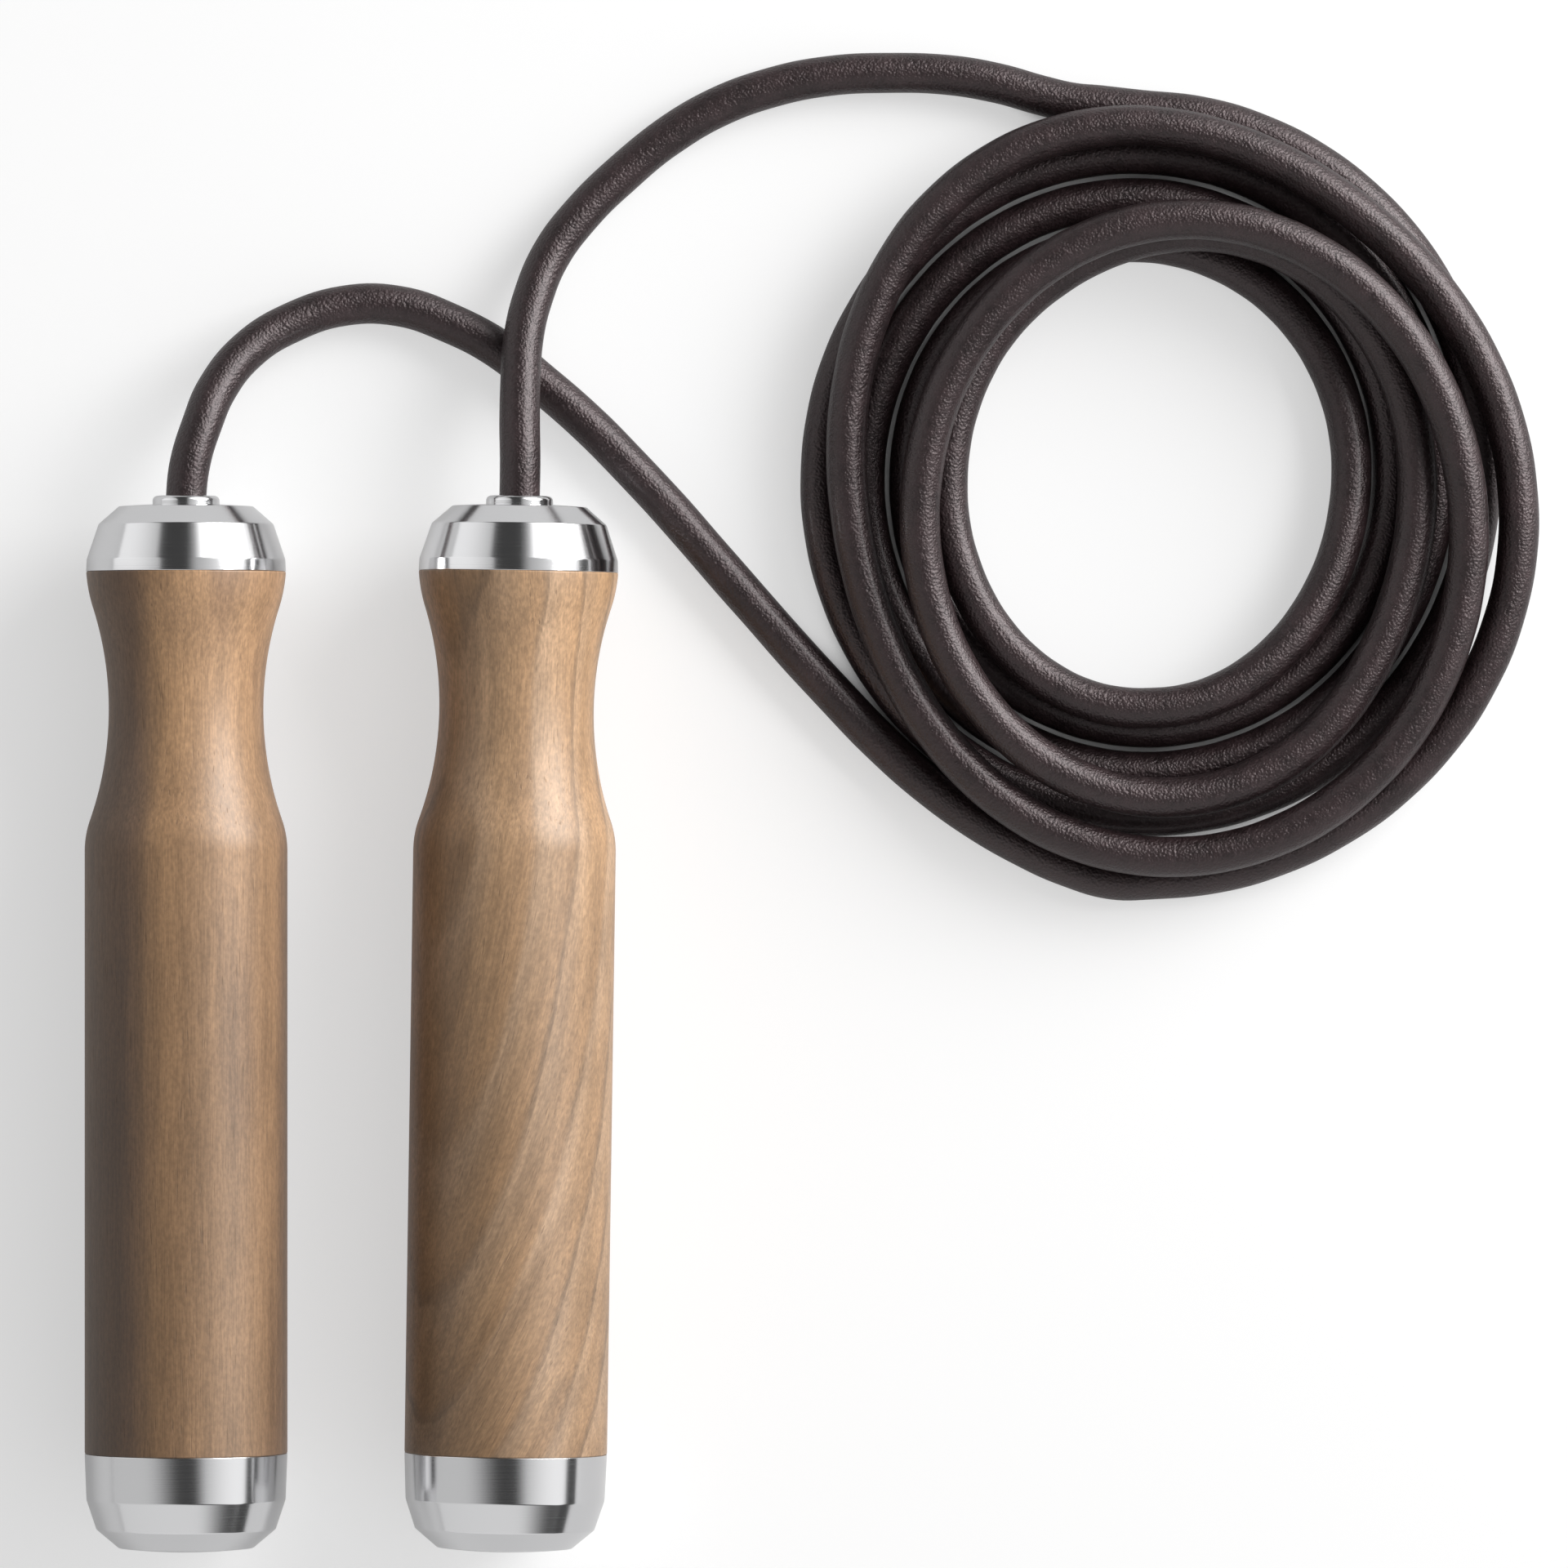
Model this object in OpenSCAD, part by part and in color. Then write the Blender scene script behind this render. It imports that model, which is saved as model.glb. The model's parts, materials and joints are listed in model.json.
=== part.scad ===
// Jump rope with two turned wooden handles, ball bearing swivels and a round leather rope.
// It lies on a table at z = 0. The handles lie along Y with their rope ends towards +Y, and
// the origin is on the table, in the middle between the two handles.
// Inside a handle, heights run along its axis from the rear crown (0) to the swivel nose.

/* [Grip] */
// Diameter of the straight barrel
barrel_d = 35; // [34:0.5:36]
// Length of the wooden grip
grip_len = 152.3; // [150:0.1:156]
// Length of the straight barrel, measured from the rear cap
barrel_len = 104; // [100:0.5:106]
// Diameter of the waist
waist_d = 26.7; // [26:0.1:28]
// Distance of the waist behind the front of the grip
waist_back = 23.8; // [23:0.1:25]
// Radius of the hollow curve on both sides of the waist
hollow_r = 58; // [52:1:62]
// Diameter that the front lip would level out at
lip_d = 34.6; // [34:0.1:35]
// How far in front of the grip the lip would level out
lip_reach = 1.7; // [1:0.1:2.5]

/* [Caps] */
// Length of the rear cap that shows
rear_cap_len = 17; // [15:0.5:20]
// Length of the front cap that shows
front_cap_len = 11.6; // [11:0.1:12.5]
// Height of the shallow crown on the rear cap
crown_h = 0.7; // [0.4:0.1:1.2]
// Diameter of the shallow crown on the rear cap
crown_d = 23.4; // [20:0.1:25]
// Diameter of the edge between the rear cap's two cones
rear_edge_d = 31; // [30:0.1:32]
// Distance of that edge from the rear end
rear_edge_at = 3.9; // [3.5:0.1:4.5]
// Length of the rear cap's band beside the wood
rear_band_len = 8; // [7:0.1:9]
// Diameter of the front cap where it meets the wood
front_cap_d = 34.5; // [34:0.1:35]
// Diameter of the front cap's nearly flat top
front_top_d = 23.2; // [20:0.1:25]
// Diameter of the edge between the front cap's two cones
front_edge_d = 30.2; // [29:0.1:31]
// Distance of that edge behind the top
front_edge_drop = 3.4; // [3:0.1:4]
// Length of the front cap's band beside the wood
front_band_len = 2.1; // [1.5:0.1:3]

/* [Swivel] */
// Diameter of the rope
rope_d = 7; // [6.5:0.1:7]
// Diameter of the swivel nose round the rope
nose_d = 11.6; // [11.2:0.1:12]
// Height of the nose above the front cap
nose_h = 1.5; // [1:0.1:2]
// Length of the clamped stop on the rope's end
stop_len = 10.2; // [8:0.2:12]
// Diameter of the clamped stop on the rope's end
stop_d = 14; // [12:0.5:15]

/* [Bearing] */
// Bore of the ball bearing
bearing_bore = 10; // [9.8:0.1:10]
// Outside diameter of the ball bearing
bearing_od = 19; // [18.8:0.1:19.2]
// Width of the ball bearing
bearing_w = 5; // [4.8:0.1:5.2]
// Diameter of a ball
ball_d = 2.38; // [2.2:0.02:2.4]
// Number of balls
ball_count = 11; // [8:1:11]

/* [Layout] */
// Distance of the left handle's axis from the middle
left_x = 28.7; // [26:0.1:32]
// Distance of the right handle's axis from the middle
right_x = 27.6; // [26:0.1:32]
// Angle that the right handle leans outwards at the rope end
right_lean = 0.83; // [0:0.01:1.5]

/* [Rope coil] */
// Radius of the outermost loop
coil_outer_r = 68; // [67.5:0.5:69]
// Radius at which the spiral turns back
coil_inner_r = 37.5; // [37:0.5:38]
// Loops wound inwards in the upper layer
loops_in = 3.22; // [3.2:0.01:3.25]
// Distance from loop to loop in the lower layer
loop_pitch = 7.7; // [7.6:0.1:7.8]
// Height of one layer of rope
layer_h = 7.5; // [7.5:0.1:8]
// How much the upper loops are drawn out along Y
oval = 2.8; // [2.5:0.1:3]
// How much the lower loops are drawn out along Y
lower_oval = 1; // [0.8:0.1:1.2]
// How far the outermost loop is drawn out towards the handles at the back
outer_skew = 5.2; // [5:0.1:5.5]
// How far the third loop swings out under the second
third_bulge = 5; // [4:0.1:5.5]
// Height of the hump where the second loop lies over the third
hump_h = 8.4; // [8.2:0.1:9]

/* [Hidden] */
SIDES = ["left", "right"];
HANDLE_PARTS = [
    "grip", "front_cap", "rear_cap", "front_insert", "rear_insert",
    "outer_race", "inner_race", "bearing_balls", "ball_cage", "bearing_shields",
    "swivel_sleeve", "shaft_ring", "bore_ring", "rope_stop", "stop_screw"
];
ROPE_PARTS = ["rope_left_lead", "rope_coil", "rope_right_lead"];

wood = "#9a7450";
steel = "#c8c9cb";
brass = "#b3904d";
leather = "#3b302d";

round_fn = 96;
small_fn = 48;
arc_steps = 14;
round_steps = 6;

// How far a cut reaches past the face that it starts from
past = 1;
// Radial play between pieces that are pressed or screwed together
fit = 0.02;
// Radial play round the turning nose
nose_play = 0.25;

// Heights along a handle
rear_seam = rear_cap_len;
front_seam = rear_seam + grip_len;
cap_top = front_seam + front_cap_len;
handle_len = cap_top + nose_h;
waist_at = front_seam - waist_back;
barrel_r = barrel_d / 2;
waist_r = waist_d / 2;
lip_r = lip_d / 2;
edge = 0.3;

// How far the caps' bands taper, and how far the front cap's top falls towards its rim
rear_band_taper = 0.3;
front_band_taper = 0.1;
front_top_fall = 0.35;

// Rear fixing: a spigot centres the cap, and its stud screws into a brass insert
rear_spigot_r = 11;
rear_spigot_h = 6;
stud_r = 4;
stud_len = 13.5;
rear_insert_r = 7;
rear_insert_len = 14;
rear_insert_gap = 0.2;
rear_insert_at = rear_seam + rear_spigot_h + rear_insert_gap;
barb_count = 3;
barb_depth = 0.4;
barb_slope = 0.8;

// Front fixing: the cap's spigot screws into a brass insert. Threads are at mean diameter.
front_insert_r = 13;
front_insert_len = 8;
front_thread_r = 11;
front_spigot_len = 7;
front_insert_at = front_seam - front_insert_len;
cavity_r = 8.5;
cavity_len = 19.3;

// Bearing seat in the front cap
seat_depth = 2.3;
bearing_at = front_seam + seat_depth;
bearing_front = bearing_at + bearing_w;
bearing_mid = bearing_at + bearing_w / 2;
seat_r = bearing_od / 2 + fit;
pitch_r = (bearing_bore + bearing_od) / 4;
ball_r = ball_d / 2;
ball_play = 0.02;
land_gap = 0.9;
inner_land_r = pitch_r - land_gap;
outer_land_r = pitch_r + land_gap;
cage_t = 1;
cage_w = 3.4;
pocket_play = 0.06;
shield_t = 0.3;
shield_in = 0.1;
shield_seat = 0.4;
shield_r = outer_land_r + shield_seat;
shield_play = 0.15;
relief_r = 8.3;
relief_h = 0.4;

// Retaining rings beside the bearing
ring_t = 1;
ring_play = 0.05;
groove_at = bearing_at - ring_t - 2 * ring_play;
shaft_groove_r = 4.6;
shaft_ring_r = 6.3;
bore_groove_r = 10;
bore_ring_r = 8.3;
ring_gap_angle = 40;
lug_r = 0.7;
lug_hole_r = 0.3;

// Swivel sleeve and the stop behind it
rope_r = rope_d / 2;
rope_play = 0.1;
rope_hole_r = rope_r + rope_play;
nose_r = nose_d / 2;
nose_round = 0.9;
sleeve_r = bearing_bore / 2 - fit;
sleeve_reach = 1.3;
sleeve_at = front_seam - sleeve_reach;
mouth = 0.3;
stop_r = stop_d / 2;
stop_at = sleeve_at - stop_len;
stop_edge = 0.6;
screw_r = 2;
screw_in = 0.12;
hex_r = 1.15;
hex_sides = 6;
hex_depth = 1.6;
rope_tail = 2;
rope_end_at = stop_at - rope_tail;

// Points of two tangent arcs: hollow from level at [0, 0], then round towards level at
// [span, rise], ending cut short of the span
function s_curve(span, rise, hollow, cut) =
    let (
        turn = 2 * atan(rise / span),
        crest = span / sin(turn) - hollow,
        last = asin(cut / crest)
    )
    concat(
        [for (i = [0 : arc_steps]) let (a = turn * i / arc_steps)
            [hollow * sin(a), hollow * (1 - cos(a))]],
        [for (i = [1 : arc_steps]) let (a = turn + (last - turn) * i / arc_steps)
            [span - crest * sin(a), rise - crest * (1 - cos(a))]]
    );

function reversed(list) = [for (i = [len(list) - 1 : -1 : 0]) list[i]];

// Quarter round between an outer wall and a face, as [radius, height] points
function quarter_round(wall, face, r) =
    [for (i = [0 : round_steps]) let (a = 90 * i / round_steps)
        [wall - r + r * cos(a), face - r + r * sin(a)]];

module turned(profile) {
    rotate_extrude($fn = round_fn) polygon(profile);
}

// Round rod between two heights
module rod(r, from, to) {
    translate([0, 0, from]) cylinder(r = r, h = to - from, $fn = round_fn);
}

// Straight tube between two heights
module bush(inner_r, outer_r, from, to) {
    difference() {
        rod(outer_r, from, to);
        rod(inner_r, from - past, to + past);
    }
}

// Handle pieces

module grip() {
    to_barrel = s_curve(waist_at - rear_seam - barrel_len, barrel_r - waist_r, hollow_r, 0);
    to_lip = s_curve(waist_back + lip_reach, lip_r - waist_r, hollow_r, lip_reach);
    profile = concat(
        [[0, rear_seam], [barrel_r - edge, rear_seam], [barrel_r, rear_seam + edge]],
        [for (p = reversed(to_barrel)) [waist_r + p[1], waist_at - p[0]]],
        [for (i = [1 : len(to_lip) - 1]) [waist_r + to_lip[i][1], waist_at + to_lip[i][0]]],
        [[0, front_seam]]
    );
    color(wood) difference() {
        turned(profile);
        // Blind holes from the rear: spigot seat, then insert
        rod(rear_spigot_r + fit, rear_seam - past, rear_insert_at);
        rod(rear_insert_r + fit, rear_seam, rear_insert_at + rear_insert_len + rear_insert_gap);
        // Blind holes from the front: insert, then room for the rope stop
        rod(front_insert_r + fit, front_insert_at, front_seam + past);
        rod(cavity_r, front_seam - cavity_len, front_seam);
    }
}

module front_cap() {
    color(steel) turned([
        [nose_r + nose_play, cap_top],
        [front_top_d / 2, cap_top - front_top_fall],
        [front_edge_d / 2, cap_top - front_edge_drop],
        [front_cap_d / 2 - front_band_taper, front_seam + front_band_len],
        [front_cap_d / 2, front_seam],
        [front_thread_r - fit, front_seam],
        [front_thread_r - fit, front_seam - front_spigot_len],
        [seat_r, front_seam - front_spigot_len],
        [seat_r, groove_at],
        [bore_groove_r, groove_at],
        [bore_groove_r, bearing_at],
        [seat_r, bearing_at],
        [seat_r, bearing_front],
        [relief_r, bearing_front],
        [relief_r, bearing_front + relief_h],
        [nose_r + nose_play, bearing_front + relief_h]
    ]);
}

module rear_cap() {
    crown_r = (crown_d * crown_d / 4 + crown_h * crown_h) / (2 * crown_h);
    crown_angle = asin(crown_d / 2 / crown_r);
    crown = [for (i = [0 : round_steps]) let (a = crown_angle * i / round_steps)
        [crown_r * sin(a), crown_r * (1 - cos(a))]];
    color(steel) turned(concat(crown, [
        [rear_edge_d / 2, rear_edge_at],
        [barrel_r - rear_band_taper, rear_seam - rear_band_len],
        [barrel_r, rear_seam],
        [rear_spigot_r, rear_seam],
        [rear_spigot_r, rear_seam + rear_spigot_h],
        [stud_r, rear_seam + rear_spigot_h],
        [stud_r, rear_seam + rear_spigot_h + stud_len - edge],
        [stud_r - edge, rear_seam + rear_spigot_h + stud_len],
        [0, rear_seam + rear_spigot_h + stud_len]
    ]));
}

module front_insert() {
    color(brass) bush(front_thread_r, front_insert_r, front_insert_at, front_seam);
}

// Brass bush with barbed rings that bite into the wood
module rear_insert() {
    barb_h = rear_insert_len / barb_count;
    barbs = [for (i = [0 : barb_count - 1]) each [
        [rear_insert_r - barb_depth, rear_insert_at + i * barb_h],
        [rear_insert_r, rear_insert_at + (i + barb_slope) * barb_h],
        [rear_insert_r, rear_insert_at + (i + 1) * barb_h]
    ]];
    color(brass) turned(concat(
        [[stud_r + fit, rear_insert_at]], barbs, [[stud_r + fit, rear_insert_at + rear_insert_len]]
    ));
}

// Ring with a ball track cut round its wall
module race(inner_r, outer_r) {
    difference() {
        bush(inner_r, outer_r, bearing_at, bearing_front);
        translate([0, 0, bearing_mid]) rotate_extrude($fn = round_fn)
            translate([pitch_r, 0]) circle(r = ball_r + ball_play, $fn = small_fn);
    }
}

module outer_race() {
    color(steel) difference() {
        race(outer_land_r, bearing_od / 2);
        rod(shield_r + fit, bearing_at - past, bearing_at + shield_in + shield_t);
        rod(shield_r + fit, bearing_front - shield_in - shield_t, bearing_front + past);
    }
}

module inner_race() {
    color(steel) race(bearing_bore / 2, inner_land_r);
}

module at_each_ball() {
    for (i = [0 : ball_count - 1])
        rotate([0, 0, 360 * i / ball_count]) translate([pitch_r, 0, bearing_mid]) children();
}

module bearing_balls() {
    color(steel) at_each_ball() sphere(r = ball_r, $fn = small_fn);
}

module ball_cage() {
    half_t = cage_t / 2;
    half_w = cage_w / 2;
    color(brass) difference() {
        bush(pitch_r - half_t, pitch_r + half_t, bearing_mid - half_w, bearing_mid + half_w);
        at_each_ball() rotate([0, 90, 0])
            cylinder(r = ball_r + pocket_play, h = cage_t + past, center = true, $fn = small_fn);
    }
}

module bearing_shields() {
    color(steel) for (from = [bearing_at + shield_in, bearing_front - shield_in - shield_t])
        bush(inner_land_r + shield_play, shield_r, from, from + shield_t);
}

module swivel_sleeve() {
    color(steel) turned(concat(
        [
            [rope_hole_r, sleeve_at],
            [sleeve_r, sleeve_at],
            [sleeve_r, groove_at],
            [shaft_groove_r, groove_at],
            [shaft_groove_r, bearing_at],
            [sleeve_r, bearing_at],
            [sleeve_r, bearing_front],
            [nose_r, bearing_front]
        ],
        quarter_round(nose_r, handle_len, nose_round),
        [[rope_hole_r + mouth, handle_len], [rope_hole_r, handle_len - mouth]]
    ));
}

// Open retaining ring with a drilled lug at each end, seated behind the bearing
module retaining_ring(inner_r, outer_r, lug_at) {
    half = ring_gap_angle / 2;
    reach = 2 * outer_r;
    gap = [[0, 0], reach * [cos(half), sin(half)], reach * [cos(half), -sin(half)]];
    translate([0, 0, bearing_at - ring_t - ring_play]) linear_extrude(ring_t) difference() {
        union() {
            difference() {
                circle(r = outer_r, $fn = round_fn);
                circle(r = inner_r, $fn = round_fn);
                polygon(gap);
            }
            at_both_lugs(half, lug_at) circle(r = lug_r, $fn = small_fn);
        }
        at_both_lugs(half, lug_at) circle(r = lug_hole_r, $fn = small_fn);
    }
}

module at_both_lugs(half, lug_at) {
    for (a = [half, -half]) rotate([0, 0, a]) translate([lug_at, 0]) children();
}

module shaft_ring() {
    color(steel) retaining_ring(shaft_groove_r + fit, shaft_ring_r, shaft_ring_r - lug_r / 2);
}

module bore_ring() {
    color(steel) retaining_ring(bore_ring_r, bore_groove_r - fit, bore_ring_r + lug_r / 2);
}

// Radial hole or screw through the rope stop, on the side that faces up
module on_stop_side(from) {
    translate([0, -from, stop_at + stop_len / 2]) rotate([90, 0, 0]) children();
}

module rope_stop() {
    color(steel) difference() {
        turned([
            [rope_hole_r, stop_at],
            [stop_r - stop_edge, stop_at],
            [stop_r, stop_at + stop_edge],
            [stop_r, sleeve_at - stop_edge],
            [stop_r - stop_edge, sleeve_at],
            [rope_hole_r, sleeve_at]
        ]);
        on_stop_side(0) cylinder(r = screw_r + fit, h = stop_r + past, $fn = small_fn);
    }
}

module stop_screw() {
    screw_len = stop_r - rope_hole_r - 2 * screw_in;
    color(steel) on_stop_side(rope_hole_r + screw_in) difference() {
        cylinder(r = screw_r, h = screw_len, $fn = small_fn);
        translate([0, 0, screw_len - hex_depth])
            cylinder(r = hex_r, h = hex_depth + past, $fn = hex_sides);
    }
}

// A piece built along its own axis is laid down on the table on its side
module on_handle(side) {
    turn = side == "left" ? 0 : -right_lean;
    place = side == "left" ? -left_x : right_x;
    translate([place, 0, barrel_r]) rotate([0, 0, turn])
        translate([0, -handle_len / 2, 0]) rotate([-90, 0, 0]) children();
}

// Point on a handle's axis at a height along it
function on_axis(side, at) =
    let (y = at - handle_len / 2)
    side == "left" ? [-left_x, y, barrel_r]
        : [right_x + y * sin(right_lean), y * cos(right_lean), barrel_r];

function axis_dir(side) = side == "left" ? [0, 1, 0] : [sin(right_lean), cos(right_lean), 0];

// Rope

function unit(v) = v / norm(v);

// Smooth step from 0 at a to 1 at b, and a smooth hill that is 0 at both
function ease(a, b, t) = let (u = max(0, min(1, (t - a) / (b - a)))) u * u * (3 - 2 * u);
function hill(a, b, t) = let (u = max(0, min(1, (t - a) / (b - a)))) pow(sin(180 * u), 2);

// The coil: where it lies, how its upper loops drift off centre and come back, after how many
// loops it ends, and between which loops it climbs, drops, swings out and goes over the hump
coil_centre = [138.5, 95.6];
coil_drift = [4.6, -9.7];
lower_shift = [-2, -0.3];
tightening = 1.4;
turn_back_soft = 0.06;
loops_all = 6.5;
climb_by = 0.25;
drop_from = 3;
drop_to = 3.4;
hump_from = 0.9;
hump_to = 2.15;
bulge_from = 2.15;
bulge_to = 2.6;
table_play = 0.05;
rope_z = rope_r + table_play;

// Radius of the spiral after t loops: in along the upper layer, then out along the lower one
function spiral_r(t) =
    t < loops_in
    ? coil_inner_r + (coil_outer_r - coil_inner_r) * pow(1 - t / loops_in, tightening)
    : coil_inner_r + loop_pitch * (norm([t - loops_in, turn_back_soft]) - turn_back_soft);

// Point of the coil after t loops, counted from its near side towards the right
function coil_at(t) =
    let (
        upper = 1 - ease(drop_from, drop_to, t),
        drift = sin(180 * min(1, t / drop_from)),
        middle = coil_centre + drift * coil_drift + (1 - upper) * lower_shift,
        draw = oval * upper + lower_oval * (1 - upper),
        skew = outer_skew * hill(0, 1, t) * sin(720 * t),
        r = spiral_r(t) + skew + third_bulge * hill(bulge_from, bulge_to, t)
    )
    [
        middle[0] + (r - draw) * sin(360 * t),
        middle[1] - (r + draw) * cos(360 * t),
        rope_z + layer_h * upper * ease(0, climb_by, t) + hump_h * hill(hump_from, hump_to, t)
    ];

function coil_points(per_loop) = [for (i = [0 : loops_all * per_loop]) coil_at(i / per_loop)];

coil_step = 0.001;
coil_first = coil_at(0);
coil_last = coil_at(loops_all);
coil_first_dir = [1, 0, 0];
coil_last_dir = let (d = coil_last - coil_at(loops_all - coil_step)) unit([d[0], d[1], 0]);
coil_start = coil_first - rope_d * coil_first_dir;
coil_end = coil_last + rope_d * coil_last_dir;

rings_per_loop = 24;
coil_route = concat([coil_start], coil_points(rings_per_loop), [coil_end]);

// Least clear distance between loops, measured between points that are not on the same arc
measured_per_loop = 48;
same_arc = 0.3;
function least_gap(points, apart) =
    min([for (i = [0 : len(points) - 1 - apart]) for (j = [i + apart : len(points) - 1])
        norm(points[i] - points[j])]) - rope_d;

function route_length(points) =
    let (steps = [for (i = [1 : len(points) - 1]) norm(points[i] - points[i - 1])])
    steps * [for (step = steps) 1];

// Leads: inside the handle, out of its nose, down to the table and along it to the coil
held_steps = 3;
function in_handle(side) =
    let (held_len = handle_len - rope_end_at)
    [for (i = [0 : held_steps]) on_axis(side, rope_end_at + held_len * i / held_steps)];

left_route = concat(in_handle("left"), [
    [-28, 97, 17.2], [-26.1, 103.5, 15.5], [-23.5, 110, 12.5], [-18.5, 116.5, 9],
    [-11, 121.5, 6], [-2, 124.5, 4.3], [7.5, 124.5, 3.7], [16.5, 121.5, rope_z],
    [25, 117, rope_z], [32.5, 111, rope_z], [40, 104.5, rope_z], [47.5, 97, rope_z],
    [54.5, 89.5, rope_z], [61.5, 81.5, rope_z], [68.5, 73.5, rope_z], [75.5, 65.5, rope_z],
    [83, 57.4, rope_z], [90.5, 49.5, rope_z], [99, 41.8, rope_z], [107.8, 35.4, rope_z],
    [116.3, 30.5, rope_z], [124, 27, rope_z]
], [coil_start]);

right_route = concat(in_handle("right"), [
    [29, 97.5, 17.2], [28.9, 104, 16], [29, 111, 14], [29.4, 118, 11.8],
    [31, 125.5, 9.4], [34, 133, 7], [39.5, 140.5, 5.2], [46.5, 147.5, 4],
    [54.5, 154, rope_z], [63, 159, rope_z], [72.5, 162.5, rope_z], [82.5, 164.5, rope_z],
    [92.5, 165, rope_z], [102.5, 164.7, rope_z], [111.8, 163.2, rope_z], [119.3, 161.1, rope_z],
    [124.9, 159.8, rope_z]
], [coil_end]);

// Ring of points square to a direction, with one corner straight down
function ring_at(p, dir, sides) =
    let (
        across = unit(cross(dir, [0, 0, 1])),
        up = cross(across, dir)
    )
    [for (i = [0 : sides - 1]) let (a = 360 * i / sides - 90)
        p + rope_r * (cos(a) * across + sin(a) * up)];

// Tube along a route, with its two end faces square to the given directions
module tube(route, sides, first_dir, last_dir) {
    last = len(route) - 1;
    inner_dirs = [for (i = [1 : last - 1]) unit(route[i + 1] - route[i - 1])];
    dirs = concat([first_dir], inner_dirs, [last_dir]);
    points = [for (i = [0 : last]) each ring_at(route[i], dirs[i], sides)];
    walls = [for (i = [0 : last - 1]) for (j = [0 : sides - 1])
        let (a = i * sides, b = a + sides, k = (j + 1) % sides)
        each [[a + j, b + k, b + j], [a + j, a + k, b + k]]];
    end = last * sides;
    first_face = [for (j = [1 : sides - 2]) [0, j + 1, j]];
    last_face = [for (j = [1 : sides - 2]) [end, end + j, end + j + 1]];
    polyhedron(points, concat(walls, first_face, last_face), convexity = 10);
}

lead_sides = 10;
coil_sides = 6;

module rope_left_lead() {
    color(leather) tube(left_route, lead_sides, axis_dir("left"), coil_first_dir);
}

module rope_coil() {
    color(leather) tube(coil_route, coil_sides, coil_first_dir, coil_last_dir);
}

module rope_right_lead() {
    color(leather) tube(right_route, lead_sides, axis_dir("right"), -coil_last_dir);
}

union() {
    measured = coil_points(measured_per_loop);
    echo(least_gap_mm = least_gap(measured, ceil(same_arc * measured_per_loop)));
    routes = [left_route, coil_route, right_route];
    echo(rope_length_mm = [for (route = routes) route_length(route)] * [1, 1, 1]);
}

for (side = SIDES) {
    on_handle(side) grip();
    on_handle(side) front_cap();
    on_handle(side) rear_cap();
    on_handle(side) front_insert();
    on_handle(side) rear_insert();
    on_handle(side) outer_race();
    on_handle(side) inner_race();
    on_handle(side) bearing_balls();
    on_handle(side) ball_cage();
    on_handle(side) bearing_shields();
    on_handle(side) swivel_sleeve();
    on_handle(side) shaft_ring();
    on_handle(side) bore_ring();
    on_handle(side) rope_stop();
    on_handle(side) stop_screw();
}
rope_left_lead();
rope_coil();
rope_right_lead();
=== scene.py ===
import json
import math

import bmesh
import bpy
from mathutils import Matrix, Vector, noise


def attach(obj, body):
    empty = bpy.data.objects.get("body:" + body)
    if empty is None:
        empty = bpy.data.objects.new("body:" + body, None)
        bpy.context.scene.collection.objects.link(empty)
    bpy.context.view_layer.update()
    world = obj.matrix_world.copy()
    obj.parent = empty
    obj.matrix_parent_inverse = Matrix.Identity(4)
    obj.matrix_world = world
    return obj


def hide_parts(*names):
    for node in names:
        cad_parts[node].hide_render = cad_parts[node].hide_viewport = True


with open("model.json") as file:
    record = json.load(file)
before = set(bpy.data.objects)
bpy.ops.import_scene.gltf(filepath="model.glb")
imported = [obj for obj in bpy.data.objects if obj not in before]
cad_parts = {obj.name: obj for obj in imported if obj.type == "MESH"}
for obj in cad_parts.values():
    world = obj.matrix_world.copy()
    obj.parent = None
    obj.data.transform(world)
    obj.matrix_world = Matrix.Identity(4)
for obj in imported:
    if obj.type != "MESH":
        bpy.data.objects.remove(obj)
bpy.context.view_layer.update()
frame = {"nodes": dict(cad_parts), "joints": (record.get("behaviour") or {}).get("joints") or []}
print("frame loaded with", len(frame["nodes"]), "nodes")

mm = 0.001
sides = ("left", "right")
joints = {joint["name"]: joint for joint in frame["joints"]}


# camera, straight above the table like the photo
cameraSet = {
    "target": (74.6, 41.4),     # mm, under the middle of the picture
    "height": 2277.5,           # mm above the table
    "frameWidth": 270.9,        # mm seen across at the height of the handles' axes
    "axisHeight": 17.5,
    "sensor": 36.0,
    "clipEnd": 100.0,           # m
}


def makeCamera():
    data = bpy.data.cameras.new("camera")
    data.sensor_width = cameraSet["sensor"]
    distance = cameraSet["height"] - cameraSet["axisHeight"]
    data.lens = cameraSet["sensor"] * distance / cameraSet["frameWidth"]
    data.clip_end = cameraSet["clipEnd"]
    camera = bpy.data.objects.new("camera", data)
    camera.location = (*[at * mm for at in cameraSet["target"]], cameraSet["height"] * mm)
    bpy.context.scene.collection.objects.link(camera)
    bpy.context.scene.camera = camera


makeCamera()
print("camera set")


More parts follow.
